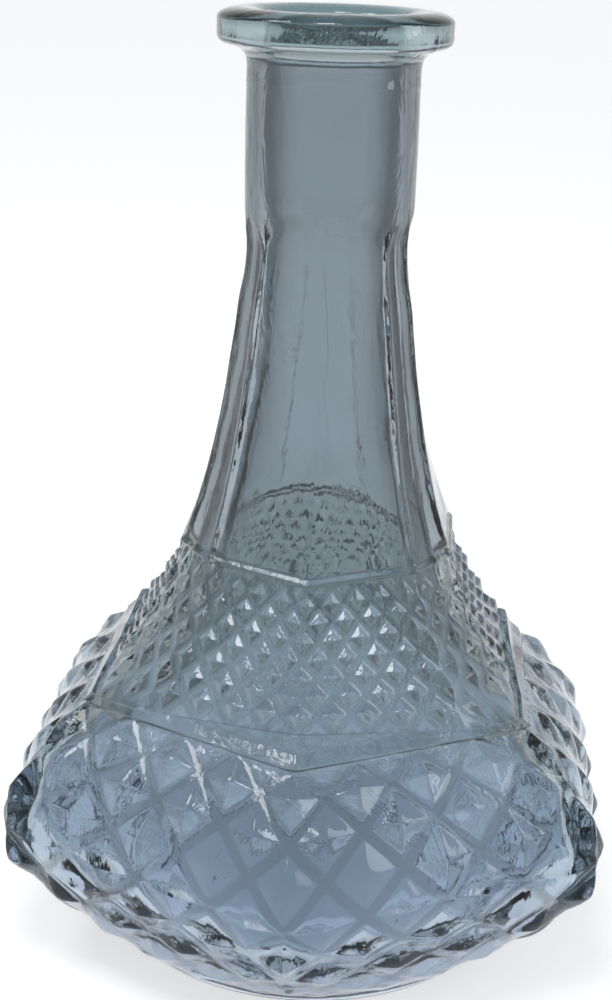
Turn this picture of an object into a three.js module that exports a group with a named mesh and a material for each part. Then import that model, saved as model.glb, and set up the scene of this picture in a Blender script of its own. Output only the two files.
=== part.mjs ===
import * as THREE from "three";

// Pressed glass vessel: round collar and neck, panelled flare, six-cornered bowl cut with diamonds.
// Millimetres, +Z up, one bowl corner faces -Y, the foot stands on z = 0.

// Overall sizes
const HEIGHT = 270;
const ACROSS_CORNERS = 200;
const FOOT_DIAMETER = 114;
const COLLAR_DIAMETER = 64;
const NECK_DIAMETER = 47.4;
const BORE_DIAMETER = 37.6;
const NECK_WALL = 3;
const BOWL_WALL = 5;
const FLOOR_THICKNESS = 9;
const FOOT_RING_WIDTH = 9;
const FOOT_RECESS_DEPTH = 2.5;

// Levels, as shares of the height
const WIDEST_LEVEL = 0.167;
const LOWER_BAND_BOTTOM = 0.295;
const LOWER_BAND_CREASE = 0.308;
const LOWER_BAND_TOP = 0.324;
const UPPER_LEDGE_BOTTOM = 0.446;
const UPPER_LEDGE_TOP = 0.456;
const PANEL_TOP = 0.8;
const COLLAR_ROOT = 0.946;

// Corner radii at those levels, as shares of the widest corner radius
const LOWER_BAND_BOTTOM_SHARE = 0.727;
const LOWER_BAND_CREASE_SHARE = 0.686;
const LOWER_BAND_TOP_SHARE = 0.664;
const UPPER_LEDGE_BOTTOM_SHARE = 0.45;
const UPPER_LEDGE_TOP_SHARE = 0.435;

// Ornament
const LARGE_COLUMNS_PER_SIDE = 4;
const LARGE_ROWS = 8;
const LARGE_RELIEF = 2.4;
const FOOT_RELIEF_SHARE = 0.2;
const FOOT_RELIEF_ROWS = 4.5;
const BAND_STEP_SHARE = 0.4;
const LARGE_BAND_SHARE = 0.13;
const SMALL_ROWS = 7;
const SMALL_RELIEF = 1.5;
const FAINT_ROW_SHARE = 0.55;
const LOWER_BAND_TAPER = 0.75;
const NARROW_FACE_START = 0.76;
const WIDE_ARCH_RISE = 8;
const NARROW_ARCH_RISE = 4;
const ARCH_DROP = 12;
const ARCH_RUN_OUT = 8;
const PANEL_BULGE = 1;

const CORNER_RADIUS = ACROSS_CORNERS / 2;
const FOOT_RADIUS = FOOT_DIAMETER / 2;
const COLLAR_RADIUS = COLLAR_DIAMETER / 2;
const NECK_RADIUS = NECK_DIAMETER / 2;
const BORE_RADIUS = BORE_DIAMETER / 2;
const SECTORS = 3;
const APOTHEM = Math.cos(Math.PI / 6);
const SMOOTH_APOTHEM = 0.95;

// Half columns of small diamonds in a third of a turn: corner, narrow face edge, face middle
const SMALL_STEPS = 22;
const FACE_EDGE_STEP = 9;
const FACE_MIDDLE_STEP = 11;
const LARGE_STEPS = 4 * LARGE_COLUMNS_PER_SIDE;

const mix = (a, b, t) => a + (b - a) * t;
const clamp = (t) => Math.min(1, Math.max(0, t));
const ease = (t) => clamp(t) * clamp(t) * (3 - 2 * clamp(t));

function bezier(points) {
  const [a, b, c, d] = points.map(([r, z]) => new THREE.Vector2(r, z));
  return new THREE.CubicBezierCurve(a, b, c, d);
}

// Corner outline of the bowl from the lower band down to the foot
function bowlOutline() {
  const widest = WIDEST_LEVEL * HEIGHT;
  const top = LOWER_BAND_BOTTOM * HEIGHT;
  const topRadius = LOWER_BAND_BOTTOM_SHARE * CORNER_RADIUS;
  const path = new THREE.CurvePath();
  path.add(bezier([
    [topRadius, top],
    [mix(topRadius, CORNER_RADIUS, 0.37), mix(top, widest, 0.1)],
    [mix(topRadius, CORNER_RADIUS, 0.88), mix(top, widest, 0.5)],
    [CORNER_RADIUS, widest],
  ]));
  path.add(bezier([
    [CORNER_RADIUS, widest],
    [CORNER_RADIUS, widest * 0.6],
    [mix(FOOT_RADIUS, CORNER_RADIUS, 0.44), widest * 0.27],
    [FOOT_RADIUS + 2.2, 3],
  ]));
  return path;
}

// Corner outline between the plain bands, top to bottom
function shoulderOutline() {
  const low = LOWER_BAND_TOP_SHARE * CORNER_RADIUS;
  const high = UPPER_LEDGE_BOTTOM_SHARE * CORNER_RADIUS;
  const bottom = LOWER_BAND_TOP * HEIGHT;
  const top = UPPER_LEDGE_BOTTOM * HEIGHT;
  return bezier([
    [high, top],
    [mix(high, low, 0.24), mix(top, bottom, 0.36)],
    [mix(high, low, 0.55), mix(top, bottom, 0.68)],
    [low, bottom],
  ]);
}

// Corner outline of the panelled flare, bottom to top
function flareOutline() {
  const low = UPPER_LEDGE_TOP_SHARE * CORNER_RADIUS;
  const bottom = UPPER_LEDGE_TOP * HEIGHT;
  const top = PANEL_TOP * HEIGHT;
  const high = NECK_RADIUS - 1.2;
  return bezier([
    [low, bottom],
    [mix(low, high, 0.42), mix(bottom, top, 0.2)],
    [mix(low, high, 0.92), mix(bottom, top, 0.58)],
    [high, top],
  ]);
}

function polar(radius, turn) {
  const angle = turn * 2 * Math.PI;
  return new THREE.Vector2(radius * Math.sin(angle), -radius * Math.cos(angle));
}

// Point of a six-cornered section; share runs from 0 to 1 over a third of a turn
function hexPoint(radius, share) {
  const side = share < 0.5 ? 0 : 1;
  const from = polar(radius, side / 6);
  return from.lerp(polar(radius, (side + 1) / 6), share * 2 - side);
}

// The same section with the corner at the middle of the third cut off to a narrow face
function cutPoint(radius, step, cornerShare) {
  if (step > FACE_MIDDLE_STEP) {
    const mirrored = cutPoint(radius, SMALL_STEPS - step, cornerShare);
    return mirrorAcross(mirrored, 1 / 6);
  }
  const edge = hexPoint(radius, NARROW_FACE_START / 2);
  if (step <= FACE_EDGE_STEP) {
    return polar(radius, 0).lerp(edge, step / FACE_EDGE_STEP);
  }
  const middle = edge.clone().add(mirrorAcross(edge, 1 / 6)).multiplyScalar(0.5);
  const corner = middle.lerp(polar(radius, 1 / 6), cornerShare);
  return edge.lerp(corner, (step - FACE_EDGE_STEP) / (FACE_MIDDLE_STEP - FACE_EDGE_STEP));
}

function mirrorAcross(point, turn) {
  const axis = polar(1, turn);
  return axis.multiplyScalar(2 * point.dot(axis)).sub(point);
}

// A ring holds its points once around, made from one third of a turn
function ring(steps, place) {
  const points = [];
  for (let sector = 0; sector < SECTORS; sector += 1) {
    const angle = (sector * 2 * Math.PI) / SECTORS;
    for (let step = 0; step < steps; step += 1) {
      const { point, z } = place(step);
      const turned = point.clone().rotateAround(new THREE.Vector2(), angle);
      points.push(new THREE.Vector3(turned.x, turned.y, z));
    }
  }
  return points;
}

function roundRing(steps, radius, z) {
  return ring(steps, (step) => ({ point: polar(radius, step / steps / SECTORS), z }));
}

// Corner radius and level at a spot of an outline, pushed in at right angles to the face
function insetAt(outline, u, depth) {
  const at = outline.getPointAt(u);
  const tangent = outline.getTangentAt(u);
  const normal = new THREE.Vector2(-tangent.y, tangent.x * APOTHEM).normalize();
  return { radius: at.x - (depth * normal.x) / APOTHEM, z: at.y - depth * normal.y };
}

// The bowl's section turns from six-cornered to round towards the foot
function bowlPlace(outline, u, share, depth) {
  const { radius, z } = insetAt(outline, u, depth);
  const roundness = 1 - ease(z / (WIDEST_LEVEL * HEIGHT * 0.75));
  const point = hexPoint(radius, share).lerp(polar(radius, share / SECTORS), roundness);
  return { point, z };
}

// Spot of the lower band's corner outline, from its top edge at 0 over the crease to its foot at 1
function bandSpot(t) {
  const top = [LOWER_BAND_TOP_SHARE, LOWER_BAND_TOP];
  const crease = [LOWER_BAND_CREASE_SHARE, LOWER_BAND_CREASE];
  const foot = [LOWER_BAND_BOTTOM_SHARE, LOWER_BAND_BOTTOM];
  const [from, to, part] = t < 0.5 ? [top, crease, t * 2] : [crease, foot, t * 2 - 1];
  return { radius: mix(from[0], to[0], part) * CORNER_RADIUS, z: mix(from[1], to[1], part) * HEIGHT };
}

// The band narrows towards the corners under the narrow faces: how far down its top edge lies there
function bandTaper(step) {
  const folded = Math.min(step, SMALL_STEPS - step);
  return LOWER_BAND_TAPER * Math.min(1, folded / FACE_EDGE_STEP);
}

function shoulderPlace(outline, u, step, depth) {
  const { radius, z } = insetAt(outline, u, depth);
  const top = bandSpot(0);
  const edge = bandSpot(bandTaper(step));
  const reach = radius + u * u * (edge.radius - top.radius);
  return { point: cutPoint(reach, step, ease((u - 0.86) / 0.14)), z: z + u * u * (edge.z - top.z) };
}

// Line half way down the lower band; between the narrow faces it is the crease of its two strips
function bandCrease() {
  return ring(SMALL_STEPS, (step) => {
    const { radius, z } = bandSpot(mix(bandTaper(step), 1, 0.5));
    return { point: cutPoint(radius, step, 1), z };
  });
}

// Edge of the small diamonds' field, at row 0 above them or at the row below the last one
function fieldEdgeRing(row) {
  const outline = shoulderOutline();
  return ring(SMALL_STEPS, (step) => shoulderPlace(outline, row / (SMALL_ROWS + 1), step, 0));
}

// Small diamonds, bottom row first: tips and valley points alternate, half a column apart.
// The field is sunk below its edges, and the row under the ledge stands up less than the others.
function smallDiamondRings() {
  const outline = shoulderOutline();
  const last = SMALL_ROWS + 1;
  const rings = [];
  for (let row = last; row >= 0; row -= 1) {
    const edge = row === 0 || row === last;
    const tipDepth = row === 1 ? SMALL_RELIEF * (1 - FAINT_ROW_SHARE) : 0;
    rings.push(ring(SMALL_STEPS, (step) => {
      const tip = !edge && (row + step) % 2 === 1;
      return shoulderPlace(outline, row / last, step, tip ? tipDepth : SMALL_RELIEF);
    }));
  }
  return rings;
}

// Panelled flare: a corner at the panel's middle that fades into a shallow curve going up
function flarePoint(radius, step, rise) {
  if (step > FACE_MIDDLE_STEP) {
    return mirrorAcross(flarePoint(radius, SMALL_STEPS - step, rise), 1 / 6);
  }
  const edge = hexPoint(radius, NARROW_FACE_START / 2);
  edge.setLength(mix(edge.length(), radius * 1.012, ease(rise * 1.15)));
  if (step <= FACE_EDGE_STEP) {
    const across = step / FACE_EDGE_STEP;
    const point = polar(radius, 0).lerp(edge, across);
    return point.setLength(point.length() + PANEL_BULGE * rise * Math.sin(Math.PI * across));
  }
  const middle = edge.clone().add(mirrorAcross(edge, 1 / 6)).multiplyScalar(0.5);
  return edge.lerp(middle, (step - FACE_EDGE_STEP) / (FACE_MIDDLE_STEP - FACE_EDGE_STEP));
}

// How far a step lies from the nearest panel edge, 0 at the edge and 1 in the panel's middle
function panelInset(step) {
  const folded = Math.min(step, SMALL_STEPS - step);
  if (folded <= FACE_EDGE_STEP) return 1 - folded / FACE_EDGE_STEP;
  return (folded - FACE_EDGE_STEP) / (FACE_MIDDLE_STEP - FACE_EDGE_STEP);
}

// Arched end of a panel, as a height above or below the panels' nominal top
function archLevel(step) {
  const folded = Math.min(step, SMALL_STEPS - step);
  const rise = folded <= FACE_EDGE_STEP ? WIDE_ARCH_RISE : NARROW_ARCH_RISE;
  return rise * Math.sqrt(1 - (1 - panelInset(step)) ** 2) - ARCH_DROP;
}

function flareRings() {
  const outline = flareOutline();
  const count = 9;
  const rings = [];
  for (let row = 0; row <= count; row += 1) {
    const rise = row / count;
    const at = outline.getPointAt(rise);
    const lift = ease((rise - 0.7) / 0.3);
    rings.push(ring(SMALL_STEPS, (step) => ({
      point: flarePoint(at.x, step, rise),
      z: at.y + lift * archLevel(step),
    })));
  }
  return rings;
}

// Plain round neck above the arched panel tops, and the collar
function neckRings() {
  const start = PANEL_TOP * HEIGHT;
  const arch = ring(SMALL_STEPS, (step) => ({
    point: polar(NECK_RADIUS, step / SMALL_STEPS / SECTORS),
    z: start + ARCH_RUN_OUT + archLevel(step),
  }));
  const root = COLLAR_ROOT * HEIGHT;
  const collar = [
    [NECK_RADIUS, root],
    [NECK_RADIUS + 0.9, mix(root, HEIGHT, 0.18)],
    [COLLAR_RADIUS - 0.8, mix(root, HEIGHT, 0.36)],
    [COLLAR_RADIUS, mix(root, HEIGHT, 0.46)],
    [COLLAR_RADIUS, mix(root, HEIGHT, 0.84)],
    [COLLAR_RADIUS - 0.7, mix(root, HEIGHT, 0.95)],
    [COLLAR_RADIUS - 2.4, HEIGHT],
    [BORE_RADIUS + 1.8, HEIGHT],
    [BORE_RADIUS + 0.4, HEIGHT - 0.7],
    [BORE_RADIUS, HEIGHT - 2.4],
  ];
  return [arch, ...collar.map(([r, z]) => roundRing(SMALL_STEPS, r, z))];
}

// Inside wall, top to bottom: the outside moved in by the wall, without the ornament
function insideRings() {
  const flare = flareOutline();
  const shoulder = shoulderOutline();
  const bowl = bowlOutline();
  const rings = [roundRing(LARGE_STEPS, BORE_RADIUS, PANEL_TOP * HEIGHT + 8)];
  for (const rise of [1, 0.82, 0.6, 0.35, 0.1]) {
    const at = flare.getPointAt(rise);
    const radius = mix(APOTHEM, SMOOTH_APOTHEM, ease(rise)) * at.x - NECK_WALL;
    rings.push(roundRing(LARGE_STEPS, radius, at.y));
  }
  for (const u of [0.15, 0.45, 0.75]) {
    const at = shoulder.getPointAt(u);
    const radius = APOTHEM * at.x - SMALL_RELIEF - mix(NECK_WALL, BOWL_WALL, u);
    rings.push(roundRing(LARGE_STEPS, radius, at.y));
  }
  for (const u of [0.05, 0.16, 0.28, 0.4, 0.52, 0.64, 0.76]) {
    const at = bowl.getPointAt(u);
    rings.push(bowlInsideRing(at.x, at.y, mix(1, 0.35, ease(u / 0.3))));
  }
  const last = rings[rings.length - 1];
  const floor = last.map((p) => new THREE.Vector3(p.x * 0.84, p.y * 0.84, FLOOR_THICKNESS));
  return [...rings, floor];
}

function bowlInsideRing(radius, z, roundness) {
  const apothem = APOTHEM * radius - LARGE_RELIEF - BOWL_WALL;
  return ring(LARGE_STEPS, (step) => {
    const share = step / LARGE_STEPS;
    const point = hexPoint(apothem / APOTHEM, share).lerp(polar(apothem, share / SECTORS), roundness);
    return { point, z };
  });
}

function footRings() {
  const inner = FOOT_RADIUS - FOOT_RING_WIDTH;
  return [
    roundRing(LARGE_STEPS, inner - 4, FOOT_RECESS_DEPTH),
    roundRing(LARGE_STEPS, inner, 0),
    roundRing(LARGE_STEPS, FOOT_RADIUS, 0),
    roundRing(LARGE_STEPS, FOOT_RADIUS + 1.6, 0.9),
  ];
}

// Triangle soup gathered from rings, caps and diamond cells; points merge afterwards
class Skin {
  constructor() {
    this.triangles = [];
  }

  add(a, b, c) {
    this.triangles.push(a, b, c);
  }

  // Joins two rings of any counts; the first lies below the second on the outside
  zip(lower, upper) {
    let i = 0;
    let j = 0;
    while (i < lower.length || j < upper.length) {
      const a = lower[i % lower.length];
      const b = upper[j % upper.length];
      const nextLower = (i + 1) / lower.length;
      const nextUpper = (j + 1) / upper.length;
      if (nextLower <= nextUpper) {
        this.add(a, lower[(i + 1) % lower.length], b);
        i += 1;
      } else {
        this.add(a, upper[(j + 1) % upper.length], b);
        j += 1;
      }
    }
  }

  zipAll(rings) {
    for (let k = 0; k + 1 < rings.length; k += 1) this.zip(rings[k], rings[k + 1]);
  }

  fan(points, centre) {
    points.forEach((point, i) => this.add(centre, point, points[(i + 1) % points.length]));
  }

  // Rows of equal count whose tips and valleys alternate, split valley to valley
  checker(lower, upper, tipFirst) {
    const count = lower.length;
    for (let i = 0; i < count; i += 1) {
      const j = (i + 1) % count;
      const splitFromLower = (i % 2 === 0) !== tipFirst;
      if (splitFromLower) {
        this.add(lower[i], lower[j], upper[j]);
        this.add(lower[i], upper[j], upper[i]);
      } else {
        this.add(lower[i], lower[j], upper[i]);
        this.add(lower[j], upper[j], upper[i]);
      }
    }
  }

  geometry() {
    const positions = this.triangles.flatMap((p) => [p.x, p.y, p.z]);
    const geometry = new THREE.BufferGeometry();
    geometry.setAttribute("position", new THREE.Float32BufferAttribute(positions, 3));
    geometry.computeVertexNormals();
    return geometry;
  }
}

// Depth of the field below its tips: a low step under the band, and flatter diamonds towards the foot
function largeRelief(row) {
  if (row === 0) return LARGE_RELIEF * BAND_STEP_SHARE;
  const fromFoot = LARGE_ROWS + 1 - row;
  return LARGE_RELIEF * mix(FOOT_RELIEF_SHARE, 1, ease(fromFoot / FOOT_RELIEF_ROWS));
}

// Large diamonds: pyramids in a net of flat strips, sunk below the band's edge; returns the edges
function addLargeDiamonds(skin) {
  const outline = bowlOutline();
  const last = LARGE_ROWS + 1;
  const turns = SECTORS * LARGE_STEPS;
  const levels = [...Array(last).keys()].map((row) => Math.max(0, row - 0.27) / (last - 0.27));
  levels.push(1);
  const rows = (depthAt) => levels.map((u, row) => ring(LARGE_STEPS, (step) => (
    bowlPlace(outline, u, step / LARGE_STEPS, depthAt(row))
  )));
  const tips = rows(() => 0);
  const valleys = rows(largeRelief);
  valleys[last] = tips[last];
  for (let row = 1; row < last; row += 1) {
    for (let step = (row + 1) % 2; step < turns; step += 2) {
      const left = (step + turns - 1) % turns;
      const right = (step + 1) % turns;
      const rim = [valleys[row - 1][step], valleys[row][left], valleys[row + 1][step], valleys[row][right]];
      addDiamond(skin, rim, valleys[row][step], tips[row][step]);
    }
  }
  const footStart = (LARGE_ROWS + 1) % 2;
  const every = (points, start) => points.filter((_, step) => step % 2 === start);
  const topEdge = every(valleys[0], 0);
  const footEdge = every(tips[last], footStart);
  const topGaps = every(valleys[1], 1);
  const footGaps = every(valleys[LARGE_ROWS], 1 - footStart);
  topEdge.forEach((point, i) => {
    skin.add(point, topGaps[i], topEdge[(i + 1) % topEdge.length]);
  });
  footEdge.forEach((point, i) => {
    const gap = footGaps[(i + footStart) % footGaps.length];
    skin.add(point, footEdge[(i + 1) % footEdge.length], gap);
  });
  return { topEdge: [topEdge, every(tips[0], 0)], footEdge };
}

function addDiamond(skin, rim, centre, tip) {
  const foot = rim.map((p) => p.clone().lerp(centre, LARGE_BAND_SHARE));
  rim.forEach((corner, k) => {
    const next = (k + 1) % rim.length;
    skin.add(corner, rim[next], foot[next]);
    skin.add(corner, foot[next], foot[k]);
    skin.add(foot[k], foot[next], tip);
  });
}

function glassMaterial() {
  return new THREE.MeshStandardMaterial({
    name: "smoky_clear_glass",
    color: new THREE.Color(0x8d9aa6),
    roughness: 0.06,
    metalness: 0,
    transparent: true,
    opacity: 0.35,
  });
}

function vesselGeometry() {
  const skin = new Skin();
  const foot = footRings();
  const { topEdge, footEdge } = addLargeDiamonds(skin);
  const diamonds = smallDiamondRings();
  const flare = flareRings();
  const neck = neckRings();
  const inside = insideRings();
  const floor = inside[inside.length - 1];
  skin.fan([...foot[0]].reverse(), new THREE.Vector3(0, 0, FOOT_RECESS_DEPTH));
  skin.zipAll([...foot, footEdge]);
  skin.zipAll([...topEdge, bandCrease(), fieldEdgeRing(SMALL_ROWS + 1), diamonds[0]]);
  diamonds.slice(1).forEach((upper, i) => {
    const row = SMALL_ROWS + 1 - i;
    skin.checker(diamonds[i], upper, row % 2 === 1);
  });
  skin.zipAll([diamonds[diamonds.length - 1], fieldEdgeRing(0), ...flare, ...neck, ...inside]);
  skin.fan(floor, new THREE.Vector3(0, 0, FLOOR_THICKNESS));
  return skin.geometry();
}

function makeVessel() {
  const mesh = new THREE.Mesh(vesselGeometry(), glassMaterial());
  mesh.name = "glass_vessel";
  return mesh;
}

const decanter = new THREE.Group();
decanter.name = "faceted_decanter";
decanter.add(makeVessel());

export default decanter;
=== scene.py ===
"""Moulded glass decanter with a panelled neck and a diamond-cut bowl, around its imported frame."""

import math

import bpy
import numpy as np
from bpy.props import FloatProperty, FloatVectorProperty, IntProperty, PointerProperty
from mathutils import Matrix, Vector


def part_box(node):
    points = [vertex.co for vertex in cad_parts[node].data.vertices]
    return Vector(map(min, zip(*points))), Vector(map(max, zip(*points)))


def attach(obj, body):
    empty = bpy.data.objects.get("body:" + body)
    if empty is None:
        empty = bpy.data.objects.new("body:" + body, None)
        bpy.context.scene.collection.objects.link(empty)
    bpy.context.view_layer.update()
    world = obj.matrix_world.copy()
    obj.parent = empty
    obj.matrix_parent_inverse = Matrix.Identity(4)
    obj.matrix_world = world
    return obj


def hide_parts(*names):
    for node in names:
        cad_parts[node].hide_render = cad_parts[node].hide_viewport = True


bl_info = {
    "name": "Diamond-cut decanter",
    "version": (1, 0, 0),
    "blender": (4, 5, 0),
    "location": "3D View > Sidebar > Decanter",
    "description": "Builds a moulded glass decanter with cut diamonds, its glass and its studio",
    "category": "Add Mesh",
}

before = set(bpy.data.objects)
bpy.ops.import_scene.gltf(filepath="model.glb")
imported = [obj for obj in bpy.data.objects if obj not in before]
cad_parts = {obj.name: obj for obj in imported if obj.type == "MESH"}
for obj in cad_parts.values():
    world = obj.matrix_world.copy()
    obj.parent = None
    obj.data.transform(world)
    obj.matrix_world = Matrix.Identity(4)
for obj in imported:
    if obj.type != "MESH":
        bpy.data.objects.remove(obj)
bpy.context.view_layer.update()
VESSEL_NODE = "glass_vessel"
VESSEL_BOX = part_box(VESSEL_NODE)
MM = 0.001

# Driving sizes in millimetres, the same as the solid model's
HEIGHT = (VESSEL_BOX[1][2] - VESSEL_BOX[0][2]) / MM
CORNER_RADIUS = 100.0
FOOT_RADIUS = 57.0
COLLAR_RADIUS = 32.0
NECK_RADIUS = 23.7
BORE_RADIUS = 18.8
NECK_WALL = 3.0
BOWL_WALL = 5.0
FLOOR_THICKNESS = 9.0
FOOT_RING_WIDTH = 9.0
FOOT_RECESS = 2.5
CROWN_RADIUS = 25.1
WIDEST = 0.167 * HEIGHT
BAND_BOTTOM = 0.295 * HEIGHT
BAND_CREASE = 0.308 * HEIGHT
BAND_TOP = 0.324 * HEIGHT
LEDGE_BOTTOM = 0.446 * HEIGHT
LEDGE_TOP = 0.456 * HEIGHT
PANEL_TOP = 0.8 * HEIGHT
COLLAR_ROOT = 0.946 * HEIGHT
BAND_BOTTOM_RADIUS = 0.727 * CORNER_RADIUS
BAND_CREASE_RADIUS = 0.686 * CORNER_RADIUS
BAND_TOP_RADIUS = 0.664 * CORNER_RADIUS
LEDGE_BOTTOM_RADIUS = 0.45 * CORNER_RADIUS
LEDGE_TOP_RADIUS = 0.435 * CORNER_RADIUS
LARGE_ROWS = 8
LARGE_STEPS = 16
LARGE_RELIEF = 2.4
FOOT_RELIEF_SHARE = 0.2
FOOT_RELIEF_ROWS = 4.5
BAND_STEP_SHARE = 0.2
FIRST_ROW_SHORTER = 0.27
SMALL_ROWS = 7
SMALL_STEPS = 22
SMALL_RELIEF = 1.5
FACE_EDGE = 9
FACE_MIDDLE = 11
NARROW_FACE_START = 0.76
BAND_TAPER = 0.75
WIDE_ARCH = 8.0
NARROW_ARCH = 4.0
ARCH_DROP = 12.0
ARCH_RUN_OUT = 8.0
ARCH_START = 0.7
PANEL_BULGE = 1.0
PANEL_EDGE_REACH = 1.012
SMOOTH_APOTHEM = 0.95
APOTHEM = math.cos(math.pi / 6)
SECTORS = 3

RIB_HEIGHT = 0.4
RIB_FLATNESS = 1.3
RIB_FALL = 0.42
NARROW_FACE_CLOSING = 0.86
MOULD_LINE_DROP = 19.2
MOULD_LINE_HEIGHT = 0.16
MOULD_LINE_HALF_WIDTH = 0.6
COLLAR_DEPTH = 9.6
COLLAR_ROUNDING = 2.2
CROWN_DROP = 2.8
LIP_DROP = 3.0
INSIDE_ROUNDNESS = 0.35
FLOOR_TURN = 0.16

# Marks in the third lattice coordinate: which kind of diamond a point belongs to
LARGE_ZONE = 1.0
SMALL_ZONE = 2.0

# How much of the valleys' painted shade and frost the narrow faces take, where the glass is thick
NARROW_FACE_SHADE = 1.0
# How fast that painted shade fades up a diamond's side, and the share of its rounding that a tip loses in
# height
SHADE_FALL = 16.0
TIP_LOSS = 0.8

# A diamond's own net of lines: loops from its tip at 0 to the middle of its strip at 1,
# and spokes from one ridge at -1 to the next at 1
LARGE_LOOPS = (0.12, 0.36, 0.6, 0.765, 0.835, 1.0)
LARGE_SPOKES = (-1.0, -0.88, -0.45, 0.0, 0.45, 0.88)
SMALL_LOOPS = (0.32, 0.62, 0.73, 1.0)
SMALL_SPOKES = (-1.0, -0.8, 0.0, 0.8)
# Points a step: in the plain rings between the fields, and in the tables of the fields' skins
SMALL_FINE = 5
SKIN_FINE = 16
# Points around the inside wall and the foot
INSIDE_COUNT = 192

# Levels in metres over which one tint turns into the next, painting light and shade by height over the
# glass's own tint
BOWL_TO_SHOULDER = (0.045, 0.1)
SHOULDER_TO_NECK = (0.115, 0.16)
NECK_TO_COLLAR = (0.256, 0.2605)
COLLAR_TO_CROWN = (0.2655, 0.268)
# Distance from the axis over which the refraction falls towards the bowl's corners
CORNER_SPAN = (0.08, 0.092)
# Slant of the view, 0 straight on and 1 along the surface, over which the neck takes its painted edge shade
EDGE_SPAN = (0.12, 0.5)
# Depth in metres over which clouds blur the tints' borders
CLOUD_DEPTH = 0.03
# Shares of the mean roughness at the flow lines' smooth and rough ends
ROUGHNESS_ENDS = (0.4, 1.6)

WHITE = (1.0, 1.0, 1.0, 1.0)
COOL_SKY = (0.94, 0.97, 1.0, 1.0)
# Squared share of a direction that points to the front or back, and its upward share,
# over which the backdrop changes as glass shows it
FRONT_SPAN = (0.1, 0.75)
UPWARD_SPAN = (0.1, 0.6)

# Inputs of the geometry nodes, and the property that sets each
CUT_INPUTS = {
    "Large strip": "large_strip",
    "Small strip": "small_strip",
    "Ridge softness": "ridge_softness",
    "Tip rounding": "tip_rounding",
    "Small cut softness": "small_softness",
    "Foot softness": "foot_softness",
    "Seam height": "seam_height",
    "Waviness": "waviness",
    "Wave scale": "wave_scale",
    "Wave seed": "wave_seed",
}

# What properties of one kind share
COLOUR = {"subtype": "COLOR", "min": 0, "max": 1}
SHARE = {"subtype": "FACTOR", "min": 0, "max": 1}
HALF_SHARE = {"subtype": "FACTOR", "min": 0, "max": 0.5}
LENGTH = {"subtype": "DISTANCE", "unit": "LENGTH"}
ANGLE = {"subtype": "ANGLE", "unit": "ROTATION"}

# Softboxes: name, place, aim, size, power property and colour
LAMPS = (
    ("key_softbox", (-0.5, -0.15, 0.85), (0, 0, 0.12), (0.3, 0.3), "key_power", (1.0, 0.99, 0.97)),
    ("top_softbox", (-0.08, -0.4, 1.0), (0, 0, 0.12), (0.3, 0.3), "top_power", (0.95, 0.97, 1.0)),
    ("side_softbox", (0.8, -0.1, 0.5), (0, 0, 0.12), (0.3, 0.6), "side_power", (0.93, 0.96, 1.0)),
)
FLOOR_HALF = 12.0
SENSOR_WIDTH = 36.0


def mix(a, b, t):
    return a + (b - a) * t


def ease(t):
    """A smooth step from 0 to 1."""
    t = np.clip(t, 0.0, 1.0)
    return t * t * (3 - 2 * t)


class Outline:
    """A chain of cubic curves in radius and height, read by share of its length."""

    def __init__(self, *curves):
        t = np.linspace(0, 1, 1201)[:, None]
        pieces = []
        for a, b, c, d in curves:
            a, b, c, d = (np.array(p, float) for p in (a, b, c, d))
            pieces.append((1 - t) ** 3 * a + 3 * (1 - t) ** 2 * t * b + 3 * (1 - t) * t * t * c + t ** 3 * d)
        self.points = np.concatenate([pieces[0], *[p[1:] for p in pieces[1:]]])
        steps = np.hypot(*np.diff(self.points, axis=0).T)
        self.along = np.concatenate([[0], np.cumsum(steps)]) / steps.sum()
        self.tangents = np.gradient(self.points, self.along, axis=0)

    def at(self, u):
        return [np.interp(u, self.along, self.points[:, k]) for k in (0, 1)]

    def inset(self, u, depth):
        """Corner radius and level after a step inwards at right angles to the face."""
        r, z = self.at(u)
        tr, tz = (np.interp(u, self.along, self.tangents[:, k]) for k in (0, 1))
        nr, nz = -tz, tr * APOTHEM
        size = np.hypot(nr, nz)
        return r - depth * nr / size / APOTHEM, z - depth * nz / size


BOWL = Outline(
    ((BAND_BOTTOM_RADIUS, BAND_BOTTOM),
     (mix(BAND_BOTTOM_RADIUS, CORNER_RADIUS, 0.37), mix(BAND_BOTTOM, WIDEST, 0.1)),
     (mix(BAND_BOTTOM_RADIUS, CORNER_RADIUS, 0.88), mix(BAND_BOTTOM, WIDEST, 0.5)),
     (CORNER_RADIUS, WIDEST)),
    ((CORNER_RADIUS, WIDEST),
     (CORNER_RADIUS, WIDEST * 0.6),
     (mix(FOOT_RADIUS, CORNER_RADIUS, 0.44), WIDEST * 0.27),
     (FOOT_RADIUS + 2.2, 3.0)),
)
SHOULDER = Outline(
    ((LEDGE_BOTTOM_RADIUS, LEDGE_BOTTOM),
     (mix(LEDGE_BOTTOM_RADIUS, BAND_TOP_RADIUS, 0.24), mix(LEDGE_BOTTOM, BAND_TOP, 0.36)),
     (mix(LEDGE_BOTTOM_RADIUS, BAND_TOP_RADIUS, 0.55), mix(LEDGE_BOTTOM, BAND_TOP, 0.68)),
     (BAND_TOP_RADIUS, BAND_TOP)),
)
FLARE_TOP_RADIUS = NECK_RADIUS - 1.2
FLARE = Outline(
    ((LEDGE_TOP_RADIUS, LEDGE_TOP),
     (mix(LEDGE_TOP_RADIUS, FLARE_TOP_RADIUS, 0.42), mix(LEDGE_TOP, PANEL_TOP, 0.2)),
     (mix(LEDGE_TOP_RADIUS, FLARE_TOP_RADIUS, 0.92), mix(LEDGE_TOP, PANEL_TOP, 0.58)),
     (FLARE_TOP_RADIUS, PANEL_TOP)),
)


def polar(radius, turn):
    """Points in plan, with turns counted from the front."""
    angle = turn * 2 * math.pi
    return np.stack([radius * np.sin(angle), -radius * np.cos(angle)], -1)


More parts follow.
